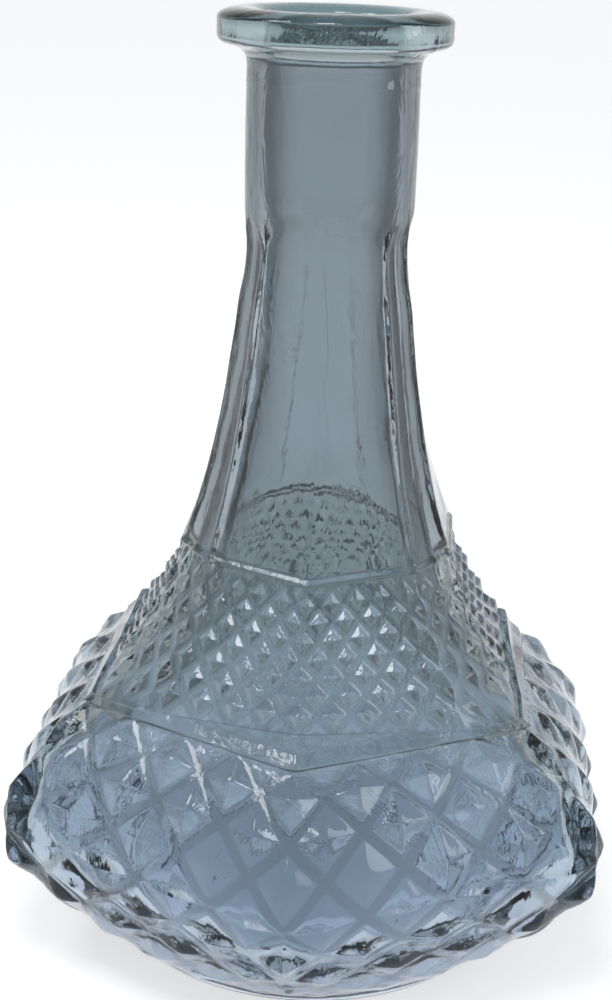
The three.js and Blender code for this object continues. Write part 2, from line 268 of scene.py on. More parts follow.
def lerp(a, b, t):
    """Points between two lists of points, each with its own share."""
    return a + (b - a) * np.asarray(t)[..., None]


def ones(values):
    return np.ones(np.shape(values))


def hex_point(radius, share):
    """A six-cornered section; share runs from 0 to 1 over a third of a turn."""
    side = np.where(share < 0.5, 0.0, 1.0)
    return lerp(polar(radius, side / 6), polar(radius, (side + 1) / 6), share * 2 - side)


def mirror_point(point):
    """The mirror image over the middle of the narrow face."""
    axis = polar(1.0, np.array(1 / 6))
    return 2 * (point @ axis)[..., None] * axis - point


def folded(step):
    """Steps past the narrow face's middle are the mirror image of those before it: step, and whether past."""
    return np.where(step > FACE_MIDDLE, SMALL_STEPS - step, step), step > FACE_MIDDLE


def cut_point(radius, step, corner_share):
    """The same section with the corner in the middle of each third cut to a narrow face."""
    near, past = folded(step)
    radius = radius * ones(step)
    edge = hex_point(radius, NARROW_FACE_START / 2 * ones(step))
    wide = lerp(polar(radius, 0.0 * step), edge, near / FACE_EDGE)
    middle = (edge + mirror_point(edge)) / 2
    corner = lerp(middle, polar(radius, 1 / 6 * ones(step)), corner_share * ones(step))
    narrow = lerp(edge, corner, (near - FACE_EDGE) / (FACE_MIDDLE - FACE_EDGE))
    point = np.where((near <= FACE_EDGE)[..., None], wide, narrow)
    return np.where(past[..., None], mirror_point(point), point)


def flare_point(radius, step, rise):
    """Panelled section: a corner in the panel's middle that fades into a shallow curve."""
    near, past = folded(step)
    radius = radius * ones(step)
    edge = hex_point(radius, NARROW_FACE_START / 2 * ones(step))
    reach = np.linalg.norm(edge, axis=-1)
    grown = mix(reach, radius * PANEL_EDGE_REACH, ease(rise * 1.15))
    edge = edge * (grown / reach)[..., None]
    across = near / FACE_EDGE
    wide = lerp(polar(radius, 0.0 * step), edge, across)
    length = np.linalg.norm(wide, axis=-1)
    bulge = PANEL_BULGE * rise * np.sin(np.pi * np.clip(across, 0, 1))
    wide = wide * ((length + bulge) / length)[..., None]
    middle = (edge + mirror_point(edge)) / 2
    narrow = lerp(edge, middle, (near - FACE_EDGE) / (FACE_MIDDLE - FACE_EDGE))
    point = np.where((near <= FACE_EDGE)[..., None], wide, narrow)
    return np.where(past[..., None], mirror_point(point), point)


def band_spot(t):
    """Corner radius and level in the lower band, from its top edge at 0 over the crease to its foot at 1."""
    stops = (0.0, 0.5, 1.0)
    return (np.interp(t, stops, (BAND_TOP_RADIUS, BAND_CREASE_RADIUS, BAND_BOTTOM_RADIUS)),
            np.interp(t, stops, (BAND_TOP, BAND_CREASE, BAND_BOTTOM)))


def band_taper(step):
    """The band narrows towards the corners under the narrow faces: how far down its top edge lies."""
    near, _ = folded(step)
    return BAND_TAPER * np.minimum(1, near / FACE_EDGE)


def arch_level(step):
    """Where each panel starts to run out into the neck: an arch, lower over the narrow faces."""
    near, _ = folded(step)
    wide = near <= FACE_EDGE
    inset = np.where(wide, 1 - near / FACE_EDGE, (near - FACE_EDGE) / (FACE_MIDDLE - FACE_EDGE))
    rise = np.where(wide, WIDE_ARCH, NARROW_ARCH)
    return PANEL_TOP - ARCH_DROP + rise * np.sqrt(np.clip(1 - (1 - inset) ** 2, 0, 1))


class Ring:
    """One closed loop of points with what the diamond tree reads at each of them."""

    def __init__(self, points, z, rise=None, lattice=None, loose=1.0, seam=None, haze=0.0):
        count = len(points)
        self.points = np.column_stack([points, z * np.ones(count)])
        self.rise = np.zeros((count, 3)) if rise is None else rise
        self.lattice = np.zeros((count, 3)) if lattice is None else lattice
        self.loose = np.full(count, float(loose))
        self.seam = np.zeros(count) if seam is None else seam
        self.haze = np.full(count, float(haze))


def spin(third):
    """Repeats the points of one third of a turn around the axis."""
    turns = []
    for sector in range(SECTORS):
        angle = sector * 2 * math.pi / SECTORS
        c, s = math.cos(angle), math.sin(angle)
        turned = third.copy()
        turned[:, :2] = third[:, :2] @ np.array([[c, s], [-s, c]])
        turns.append(turned)
    return np.concatenate(turns)


def round_ring(count, radius, z, loose=1.0, seam=None):
    turn = np.arange(count) / count
    return Ring(polar(radius * np.ones(count), turn), z, loose=loose, seam=seam)


def soften(loop, width):
    """Rounds the folds of a closed loop of points, width in points."""
    reach = np.arange(-9, 10)
    weights = np.exp(-0.5 * (reach / width) ** 2)
    weights /= weights.sum()
    return sum(w * np.roll(loop, k, axis=0) for k, w in zip(reach, weights))


class Field(Ring):
    """A belt of diamonds whose own net of lines follows every ridge and strip.

    place(row, steps, sunk) gives points of the tips' skin or of the valleys' skin; row 0 is on top.
    Half diamonds along both rims stay as hollows.
    """

    def __init__(self, place, steps, rows, loops, spokes, zone, loose, first_height, fold, fade):
        self.total = steps * SECTORS
        self.bottom = rows + 1.0
        self.build_skins(place, steps, rows, fold)
        x, y, hollow, self.faces = self.build_net(rows, loops, spokes)
        peak, low = self.skin(0, x, y), self.skin(1, x, y)
        if fade:
            low = peak + (low - peak) * ease(self.bottom - y)[:, None]
        height = np.where(hollow, 0.0, mix(first_height, 1.0, ease(y - 1)))
        lattice = np.column_stack([x, y, np.full(len(x), zone)])
        super().__init__(low[:, :2], low[:, 2], (peak - low) * height[:, None], lattice, loose)
        self.rims = [self.rim(x, y, level) for level in (0.0, self.bottom)]

    def build_skins(self, place, steps, rows, fold):
        """Both skins as closely spaced tables, with their upright folds rounded."""
        across = np.arange(steps * SKIN_FINE) / SKIN_FINE
        levels = np.arange((rows + 1) * SKIN_FINE + 1) / SKIN_FINE
        self.skins = [np.stack([soften(spin(place(row, across, sunk)), fold * SKIN_FINE) for row in levels])
                      for sunk in (False, True)]

    def skin(self, which, x, y):
        """Points on the tips' skin, 0, or on the valleys', 1, read between the table's entries."""
        table = self.skins[which]
        i, j = np.asarray(x) * SKIN_FINE, np.asarray(y) * SKIN_FINE
        i0 = np.floor(i).astype(int)
        j0 = np.minimum(np.floor(j).astype(int), len(table) - 2)
        fx, fy = (i - i0)[:, None], (j - j0)[:, None]
        a, b = i0 % table.shape[1], (i0 + 1) % table.shape[1]
        upper = table[j0, a] * (1 - fx) + table[j0, b] * fx
        lower = table[j0 + 1, a] * (1 - fx) + table[j0 + 1, b] * fx
        return upper * (1 - fy) + lower * fy

    def build_net(self, rows, loops, spokes):
        """Places, hollow marks and faces of the whole belt: one diamond's net, repeated and merged."""
        count = len(spokes) * 4
        corners = ((1, -1), (1, 1), (-1, 1), (-1, -1))
        outline = []
        for (a0, b0), (a1, b1) in zip(corners, corners[1:] + corners[:1]):
            outline += [(mix(a0, a1, (s + 1) / 2), mix(b0, b1, (s + 1) / 2)) for s in spokes]
        outline = np.array(outline, float)
        net = np.concatenate([[(0.0, 0.0)], *[outline * loop for loop in loops]])
        cell_x, cell_y = (net[:, 0] + net[:, 1]) / 2, (net[:, 0] - net[:, 1]) / 2
        triangles = [(0, 1 + k, 1 + (k + 1) % count) for k in range(count)]
        for ring in range(len(loops) - 1):
            start = 1 + ring * count
            for k in range(count):
                p, q = start + k, start + (k + 1) % count
                r, t = q + count, p + count
                near_ridge = k % len(spokes) < len(spokes) / 2
                triangles += [(p, t, r), (p, r, q)] if near_ridge else [(p, t, q), (t, r, q)]
        triangles = np.array(triangles)
        middle_y = cell_y[triangles].mean(1)
        points, faces, size = [], [], 0
        for row in range(rows + 2):
            keep = triangles
            if row == 0:
                keep = triangles[middle_y > 0]
            if row == rows + 1:
                keep = triangles[middle_y < 0]
            rim = row in (0, rows + 1)
            for column in range((row + 1) % 2, self.total, 2):
                used = np.unique(keep)
                renumber = np.zeros(len(net), int)
                renumber[used] = np.arange(len(used))
                points.append(np.column_stack([cell_x[used] + column, cell_y[used] + row,
                                               np.full(len(used), float(rim))]))
                faces.append(renumber[keep] + size)
                size += len(used)
        points, faces = np.concatenate(points), np.concatenate(faces)
        keys = np.round(np.column_stack([points[:, 0] % self.total, points[:, 1]]) * 1e4).astype(int)
        keys[:, 0] %= round(self.total * 1e4)
        _, first, back = np.unique(keys, axis=0, return_index=True, return_inverse=True)
        hollow = points[first, 2] > 0.5
        return points[first, 0] % self.total, points[first, 1], hollow, back.ravel()[faces]

    def rim(self, x, y, level):
        """Indices of the points along one rim, in order around the axis."""
        on = np.flatnonzero(np.abs(y - level) < 1e-6)
        return on[np.argsort(x[on])]

    def wall(self, level, shares):
        """Rings of the step between the rim's plain edge and the sunk field."""
        index = self.rims[0 if level == 0 else 1]
        x = self.lattice[index, 0]
        peak, low = self.skin(0, x, level * np.ones(len(x))), self.skin(1, x, level * np.ones(len(x)))
        rings = []
        for share in shares:
            points = mix(peak, low, share)
            # The step walls take part of the valleys' painted shade and frost
            rings.append(Ring(points[:, :2], points[:, 2], loose=0.3, haze=0.6))
        return rings


def bowl_field():
    """The large diamonds, from the lower plain band down to the foot."""
    last = LARGE_ROWS + 1

    def place(row, steps, sunk):
        u = max(0.0, row - FIRST_ROW_SHORTER) / (last - FIRST_ROW_SHORTER)
        relief = LARGE_RELIEF * mix(FOOT_RELIEF_SHARE, 1.0, ease((last - row) / FOOT_RELIEF_ROWS))
        relief *= mix(BAND_STEP_SHARE, 1.0, ease(row))
        radius, z = BOWL.inset(u, relief if sunk else 0.0)
        share = steps / LARGE_STEPS
        roundness = 1 - ease(z / (WIDEST * 0.75))
        flat = lerp(hex_point(radius * ones(share), share), polar(radius * ones(share), share / SECTORS),
                    roundness * ones(share))
        return np.column_stack([flat, np.full(len(share), z)])

    return Field(place, LARGE_STEPS, LARGE_ROWS, LARGE_LOOPS, LARGE_SPOKES, LARGE_ZONE,
                 loose=1.0, first_height=1.0, fold=0.2, fade=True)


def shoulder_field():
    """The small diamonds, from the upper ledge down to the lower plain band."""
    last = SMALL_ROWS + 1

    def place(row, steps, sunk):
        u = row / last
        radius, z = SHOULDER.inset(u, SMALL_RELIEF if sunk else 0.0)
        edge_radius, edge_level = band_spot(band_taper(steps))
        reach = radius + u * u * (edge_radius - BAND_TOP_RADIUS)
        flat = cut_point(reach, steps, ease((u - NARROW_FACE_CLOSING) / (1 - NARROW_FACE_CLOSING)))
        return np.column_stack([flat, z + u * u * (edge_level - BAND_TOP)])

    field = Field(place, SMALL_STEPS, SMALL_ROWS, SMALL_LOOPS, SMALL_SPOKES, SMALL_ZONE,
                  loose=0.5, first_height=0.55, fold=0.1, fade=False)
    near, _ = folded(field.lattice[:, 0] % SMALL_STEPS)
    # Painted shade and frost over the narrow faces
    field.haze[near > FACE_EDGE + 0.2] = NARROW_FACE_SHADE
    return field


SMALL_COLUMNS = np.arange(SMALL_STEPS * SMALL_FINE) / SMALL_FINE
SEAM = np.zeros(SECTORS * len(SMALL_COLUMNS))
SEAM[[FACE_MIDDLE * SMALL_FINE, 2 * len(SMALL_COLUMNS)]] = 1.0


def third_ring(flat, z, loose=1.0, haze=0.0):
    """A ring with both mould seams, from the points and the level or levels of one third."""
    points = spin(np.column_stack([flat, z * ones(SMALL_COLUMNS)]))
    return Ring(points[:, :2], points[:, 2], loose=loose, seam=SEAM, haze=haze)


def plain_section(radius, z, corner_share):
    """A ring of the plain bands, in the valleys' painted shade and frost."""
    return third_ring(cut_point(radius, SMALL_COLUMNS, corner_share), z, 0.6, 1.0)


def band_rings():
    """Lower plain band: a steep strip under the small diamonds and a flatter one below it."""
    rings = []
    taper = band_taper(SMALL_COLUMNS)
    for t in (0.93, 0.75, 0.57, 0.5, 0.43, 0.25, 0.07):
        radius, level = band_spot(mix(taper, 1, t))
        rings.append(plain_section(radius, level, 1.0))
    return rings


def ledge_rings():
    """The rounded moulding between the panels and the small diamonds."""
    profile = [(0.1, 0.12), (0.25, 0.4), (0.2, 0.75), (-0.1, 1.15), (-0.6, 1.55), (-1.15, 1.95),
               (-1.45, 2.4)]
    return [plain_section(LEDGE_BOTTOM_RADIUS + r, LEDGE_BOTTOM + z, 0.0) for r, z in profile]


def ribbed(flat, share):
    """Adds the moulded rib along each panel edge to a section, at a share of its height."""
    near, _ = folded(SMALL_COLUMNS)
    rib = RIB_HEIGHT * ease(RIB_FLATNESS - np.abs(near - FACE_EDGE) * SMALL_FINE * RIB_FALL) * share
    length = np.linalg.norm(flat, axis=1)
    return flat * ((length + rib) / length)[:, None]


def flare_rings():
    """The panels between the ledge and the foot of their arches."""
    rings = []
    arch = arch_level(SMALL_COLUMNS) - PANEL_TOP
    for rise in np.linspace(0, 1, 30):
        radius, z = FLARE.at(rise)
        flat = ribbed(flare_point(radius, SMALL_COLUMNS, rise), ease(rise / 0.05))
        level = z + ease((rise - ARCH_START) / (1 - ARCH_START)) * arch
        rings.append(third_ring(flat, level))
    return rings


def arch_rings():
    """The scooped tops of the panels, where they run out into the round neck."""
    rings = []
    arch = arch_level(SMALL_COLUMNS)
    panel = flare_point(FLARE.at(1.0)[0], SMALL_COLUMNS, 1.0)
    neck = polar(NECK_RADIUS * ones(SMALL_COLUMNS), SMALL_COLUMNS / SMALL_STEPS / SECTORS)
    for t in np.linspace(0, 1, 11)[1:]:
        flat = ribbed(lerp(panel, neck, ease(t) * ones(SMALL_COLUMNS)), 1 - ease(t * 1.4))
        rings.append(third_ring(flat, arch + ARCH_RUN_OUT * t))
    return rings


def arc(centre, across, up, start, end, count):
    """Points of an oval arc in radius and height, angles in degrees from straight outwards."""
    angles = np.radians(np.linspace(start, end, count))
    return [(centre[0] + across * math.cos(a), centre[1] + up * math.sin(a)) for a in angles]


def neck_rings():
    """The round neck with its faint mould line, the collar and the rounded lip down into the bore."""
    count = SECTORS * len(SMALL_COLUMNS)
    line, under = HEIGHT - MOULD_LINE_DROP, HEIGHT - COLLAR_DEPTH
    profile = [(NECK_RADIUS, z) for z in np.linspace(PANEL_TOP + 7, HEIGHT - 22, 6)]
    profile += [(NECK_RADIUS, line - MOULD_LINE_HALF_WIDTH), (NECK_RADIUS + MOULD_LINE_HEIGHT, line),
                (NECK_RADIUS, line + MOULD_LINE_HALF_WIDTH)]
    profile += [(NECK_RADIUS, COLLAR_ROOT - 1.4), (NECK_RADIUS + 0.05, COLLAR_ROOT)]
    profile += [(NECK_RADIUS + 0.35, COLLAR_ROOT + 1.5), (NECK_RADIUS + 1.0, COLLAR_ROOT + 2.7),
                (NECK_RADIUS + 2.3, COLLAR_ROOT + 3.7), (NECK_RADIUS + 4.4, under - 0.1)]
    profile += arc((COLLAR_RADIUS - COLLAR_ROUNDING, under + 2.4), COLLAR_ROUNDING, COLLAR_ROUNDING,
                   -78, 0, 6)
    profile += arc((CROWN_RADIUS, HEIGHT - CROWN_DROP), COLLAR_RADIUS - CROWN_RADIUS, CROWN_DROP, 0, 90, 10)
    profile += arc((CROWN_RADIUS, HEIGHT - LIP_DROP), CROWN_RADIUS - BORE_RADIUS, LIP_DROP, 100, 180, 8)
    return [round_ring(count, r, z, 0.4 * (z < HEIGHT - 14), SEAM * (z < HEIGHT - 3) * (r > CROWN_RADIUS))
            for r, z in profile]


def inside_rings():
    """Inside wall, top to bottom, smooth: it never takes the diamonds."""
    rings = [round_ring(INSIDE_COUNT, BORE_RADIUS, z, 0.5)
             for z in np.linspace(HEIGHT - 5, PANEL_TOP + 8, 7)]
    for rise in np.linspace(1, 0.04, 16):
        radius, z = FLARE.at(rise)
        apothem = mix(APOTHEM, SMOOTH_APOTHEM, ease(rise)) * radius
        rings.append(round_ring(INSIDE_COUNT, apothem - NECK_WALL, z))
    for u in np.linspace(0.1, 0.88, 7):
        radius, z = SHOULDER.at(u)
        wall = SMALL_RELIEF + mix(NECK_WALL, BOWL_WALL, u)
        rings.append(round_ring(INSIDE_COUNT, APOTHEM * radius - wall, z))
    share = np.arange(INSIDE_COUNT / SECTORS) * SECTORS / INSIDE_COUNT
    for u in np.linspace(0.04, 0.76, 16):
        radius, z = BOWL.at(u)
        apothem = APOTHEM * radius - LARGE_RELIEF - BOWL_WALL
        roundness = mix(1.0, INSIDE_ROUNDNESS, ease(u / 0.3))
        flat = lerp(hex_point(apothem / APOTHEM * ones(share), share),
                    polar(apothem * ones(share), share / SECTORS), roundness * ones(share))
        points = spin(np.column_stack([flat, np.full(len(flat), z)]))
        rings.append(Ring(points[:, :2], points[:, 2]))
    last = rings[-1].points
    drop = last[0, 2] - FLOOR_THICKNESS
    for t in np.radians((22, 45, 68, 90)):
        reach = 1 - FLOOR_TURN * (1 - math.cos(t))
        rings.append(Ring(last[:, :2] * reach, FLOOR_THICKNESS + drop * (1 - math.sin(t))))
    for reach in (0.66, 0.48, 0.3, 0.14):
        rings.append(Ring(last[:, :2] * reach, FLOOR_THICKNESS))
    return rings


def foot_rings():
    """The recess under the floor, then the foot ring outwards and up to the large diamonds."""
    inner = FOOT_RADIUS - FOOT_RING_WIDTH
    profile = [(r, FOOT_RECESS) for r in (10, 20, 30, 38, inner - 4.6)]
    profile += [(inner - 3.6, FOOT_RECESS - 0.25), (inner - 2, FOOT_RECESS * 0.5), (inner - 0.7, 0.15)]
    profile += [(inner, 0.0), (FOOT_RADIUS - 0.9, 0.0), (FOOT_RADIUS, 0.12), (FOOT_RADIUS + 1.1, 0.6),
                (FOOT_RADIUS + 1.8, 1.5)]
    return [round_ring(INSIDE_COUNT, r, z, 0.3 if r < inner - 6 else 0.0) for r, z in profile]


class Skin:
    """Gathers rings and fields into one closed triangle mesh, in millimetres."""

    def __init__(self):
        self.parts = []
        self.faces = []
        self.size = 0
        self.edge = None

    def lay(self, part):
        """Adds a ring's points and returns the number of its first one."""
        start = self.size
        self.parts.append(part)
        self.size += len(part.points)
        return start

    def turns(self, index):
        """Angle around the axis of each point of a loop, rising from the first one."""
        points = np.concatenate([part.points for part in self.parts])[index]
        angle = np.arctan2(points[:, 0], -points[:, 1]) / (2 * math.pi)
        rising = np.unwrap(angle, period=1.0)
        return rising - round(rising[0])

    def join(self, upper):
        """Joins the open edge so far to the next loop of points."""
        if self.edge is not None:
            lower = self.edge
            if len(lower) == len(upper):
                i = np.arange(len(lower))
                j = (i + 1) % len(lower)
                flip = (i % 2 == 0)[:, None]
                a, b, c, d = lower[i], lower[j], upper[j], upper[i]
                self.faces.append(np.where(flip, np.stack([a, b, c], 1), np.stack([a, b, d], 1)))
                self.faces.append(np.where(flip, np.stack([a, c, d], 1), np.stack([b, c, d], 1)))
            else:
                self.faces.append(self.lace(lower, upper))
        self.edge = upper

    def lace(self, lower, upper):
        """Faces between two loops of different counts, always towards the nearer next point."""
        at = [np.append(t, t[0] + 1) for t in (self.turns(lower), self.turns(upper))]
        faces = []
        i = j = 0
        while i < len(lower) or j < len(upper):
            next_low = at[0][i + 1] if i < len(lower) else 9.0
            next_up = at[1][j + 1] if j < len(upper) else 9.0
            a, b = lower[i % len(lower)], upper[j % len(upper)]
            if next_low <= next_up:
                faces.append((a, lower[(i + 1) % len(lower)], b))
                i += 1
            else:
                faces.append((a, upper[(j + 1) % len(upper)], b))
                j += 1
        return np.array(faces)

    def rings(self, rings):
        for ring in rings:
            self.join(self.lay(ring) + np.arange(len(ring.points)))

    def field(self, field):
        """Walls in a field of diamonds from below to above."""
        if field.lattice[0, 2] == SMALL_ZONE:
            self.rings(field.wall(field.bottom, (0.0, 0.1, 0.85)))
        start = self.lay(field)
        self.join(start + field.rims[1])
        self.faces.append(field.faces + start)
        self.edge = start + field.rims[0]
        self.rings(field.wall(0.0, (0.85, 0.1, 0.0)))

    def cap(self, loop, z, flip):
        """Closes a loop of points with a fan from the axis."""
        middle = np.full(len(loop), self.lay(Ring(np.zeros((1, 2)), z, loose=0.3)))
        after = np.roll(loop, -1)
        self.faces.append(np.stack([middle, after, loop] if flip else [middle, loop, after], 1))

    def mesh(self, name):
        mesh = bpy.data.meshes.new(name)
        points = np.concatenate([part.points for part in self.parts]) * MM
        mesh.from_pydata(points.tolist(), [], np.concatenate(self.faces).tolist())
        for label, scale in (("rise", MM), ("lattice", 1.0)):
            values = np.concatenate([getattr(part, label) for part in self.parts]) * scale
            mesh.attributes.new(label, "FLOAT_VECTOR", "POINT").data.foreach_set("vector", values.ravel())
        for label in ("loose", "seam", "haze"):
            values = np.concatenate([getattr(part, label) for part in self.parts])
            mesh.attributes.new(label, "FLOAT", "POINT").data.foreach_set("value", values)
        mesh.update()
        return mesh


def vessel_skin():
    """The whole vessel, from the middle of the underside up and over into the bowl's floor."""
    skin = Skin()
    foot = foot_rings()
    skin.rings(foot)
    skin.cap(np.arange(len(foot[0].points)), FOOT_RECESS, True)
    skin.field(bowl_field())
    skin.rings(band_rings())
    skin.field(shoulder_field())
    skin.rings(ledge_rings() + flare_rings() + arch_rings() + neck_rings() + inside_rings())
    skin.cap(skin.edge, FLOOR_THICKNESS, False)
    return skin.mesh("glass_body")


class Tree:
    """Shorthand for making and wiring nodes."""

    def __init__(self, tree):
        self.tree = tree
        self.column = 0

    def node(self, kind, inputs=None, **settings):
        node = self.tree.nodes.new(kind)
        self.column += 1
        node.location = (self.column % 12 * 190, -(self.column // 12) * 260)
        for key, value in settings.items():
            setattr(node, key, value)
        for key, value in (inputs or {}).items():
            socket = node.inputs[key]
            if isinstance(value, bpy.types.NodeSocket):
                self.tree.links.new(value, socket)
            else:
                socket.default_value = value
        return node

    def math(self, operation, *values):
        return self.node("ShaderNodeMath", dict(enumerate(values)), operation=operation).outputs[0]

    def vector(self, operation, inputs):
        return self.node("ShaderNodeVectorMath", inputs, operation=operation).outputs[0]

    def ramp(self, value, span, ends=(0.0, 1.0)):
        """A value's way through a span, from one end value to the other."""
        return self.node("ShaderNodeMapRange", {"Value": value, "From Min": span[0], "From Max": span[1],
                                                "To Min": ends[0], "To Max": ends[1]}).outputs[0]

    def tint(self, factor, a, b):
        """Mixes two colours, each a property's value or a socket."""
        a, b = (c if isinstance(c, bpy.types.NodeSocket) else (*c, 1.0) for c in (a, b))
        return self.node("ShaderNodeMix", {"Factor": factor, "A": a, "B": b}, data_type="RGBA").outputs[2]


def empty_tree(owner):
    """Clears the nodes of a material or a world and returns its tree for new ones."""
    owner.use_nodes = True
    owner.node_tree.nodes.clear()
    return Tree(owner.node_tree)


def place_object(name, data):
    """Puts data into the scene as an object of that name."""
    thing = bpy.data.objects.new(name, data)
    bpy.context.scene.collection.objects.link(thing)
    return thing


def diamond_tree():
    """Geometry nodes that raise the cut diamonds, the seam and the glass's uneven skin."""
    group = bpy.data.node_groups.new("Cut diamonds", "GeometryNodeTree")
    face = group.interface
    face.new_socket("Geometry", in_out="INPUT", socket_type="NodeSocketGeometry")
    for name in CUT_INPUTS:
        kind = "NodeSocketInt" if name == "Wave seed" else "NodeSocketFloat"
        face.new_socket(name, in_out="INPUT", socket_type=kind)
    face.new_socket("Glass", in_out="INPUT", socket_type="NodeSocketMaterial")
    face.new_socket("Geometry", in_out="OUTPUT", socket_type="NodeSocketGeometry")
    t = Tree(group)
    source = t.node("NodeGroupInput").outputs

    def named(label, kind):
        return t.node("GeometryNodeInputNamedAttribute", {"Name": label}, data_type=kind).outputs["Attribute"]

    net = t.node("ShaderNodeSeparateXYZ", {0: named("lattice", "FLOAT_VECTOR")}).outputs
    across, down, zone = net[0], net[1], net[2]

    small = t.math("GREATER_THAN", zone, (LARGE_ZONE + SMALL_ZONE) / 2)
    crisp = t.math("MULTIPLY_ADD", small, t.math("SUBTRACT", source["Small cut softness"], 1.0), 1.0)
    edge = t.math("MULTIPLY", source["Tip rounding"], crisp)

    def off_centre(value):
        turned = t.math("MULTIPLY", t.math("SUBTRACT", value, 1.0), 0.5)
        off = t.math("MULTIPLY", t.math("SUBTRACT", turned, t.math("ROUND", turned)), 2.0)
        return t.math("SQRT", t.math("MULTIPLY_ADD", off, off, t.math("MULTIPLY", edge, edge)))

    one = off_centre(t.math("ADD", across, down))
    two = off_centre(t.math("SUBTRACT", across, down))
    reach = t.math("SMOOTH_MAX", one, two, t.math("MULTIPLY", source["Ridge softness"], crisp))
    wider = t.math("SUBTRACT", source["Small strip"], source["Large strip"])
    strip = t.math("ADD", source["Large strip"], t.math("MULTIPLY", small, wider))
    slope = t.math("DIVIDE", t.math("SUBTRACT", t.math("SUBTRACT", 1.0, strip), reach),
                   t.math("SUBTRACT", 1.0, strip))
    blunted = t.math("SUBTRACT", 1.0, t.math("MULTIPLY", edge, TIP_LOSS))
    full = t.math("DIVIDE", slope, blunted)
    height = t.math("MAXIMUM", t.math("SMOOTH_MAX", full, 0.0, source["Foot softness"]), 0.0)
    # Painted shade in the strips between the diamonds, fading up their sides; the same mark makes them
    # rougher
    valley = t.math("SUBTRACT", 1.0, t.math("MULTIPLY", height, SHADE_FALL))
    cut_here = t.math("GREATER_THAN", zone, LARGE_ZONE / 2)
    haze = t.math("MAXIMUM", t.math("MULTIPLY", cut_here, valley), named("haze", "FLOAT"))
    marked = t.node("GeometryNodeStoreNamedAttribute", {"Geometry": source["Geometry"], "Name": "haze",
                                                        "Value": haze}, data_type="FLOAT", domain="POINT")
    raised = t.vector("SCALE", {0: named("rise", "FLOAT_VECTOR"), "Scale": t.math("MINIMUM", height, 1.0)})
    cut = t.node("GeometryNodeSetPosition", {"Geometry": marked.outputs[0], "Offset": raised}).outputs[0]

    wave = t.node("ShaderNodeTexNoise", {"Vector": t.node("GeometryNodeInputPosition").outputs[0],
                                         "W": source["Wave seed"], "Scale": source["Wave scale"],
                                         "Detail": 1.5, "Roughness": 0.4}, noise_dimensions="4D")
    swing = t.math("MULTIPLY", t.math("SUBTRACT", wave.outputs[0], 0.5),
                   t.math("MULTIPLY", source["Waviness"], named("loose", "FLOAT")))
    ridge = t.math("MULTIPLY", named("seam", "FLOAT"), source["Seam height"])
    push = t.vector("SCALE", {0: t.node("GeometryNodeInputNormal").outputs[0],
                              "Scale": t.math("ADD", swing, ridge)})
    worked = t.node("GeometryNodeSetPosition", {"Geometry": cut, "Offset": push}).outputs[0]
    smooth = t.node("GeometryNodeSetShadeSmooth", {"Geometry": worked, "Shade Smooth": True}).outputs[0]
    whole = t.node("GeometryNodeRealizeInstances", {"Geometry": smooth}).outputs[0]
    done = t.node("GeometryNodeSetMaterial", {"Geometry": whole, "Material": source["Glass"]}).outputs[0]
    t.node("NodeGroupOutput", {"Geometry": done})
    return group


def grow(mesh, name, tree, values):
    """Runs a tree over a mesh and returns the result as a plain object."""
    base = place_object(name + "_base", mesh)
    modifier = base.modifiers.new("Cut diamonds", "NODES")
    modifier.node_group = tree
    sockets = {item.name: item.identifier for item in tree.interface.items_tree if item.in_out == "INPUT"}
    for key, value in values.items():
        modifier[sockets[key]] = value
    graph = bpy.context.evaluated_depsgraph_get()
    result = bpy.data.meshes.new_from_object(base.evaluated_get(graph), depsgraph=graph)
    result.name = name
    base.modifiers.remove(modifier)
    bpy.data.objects.remove(base)
    return place_object(name, result)


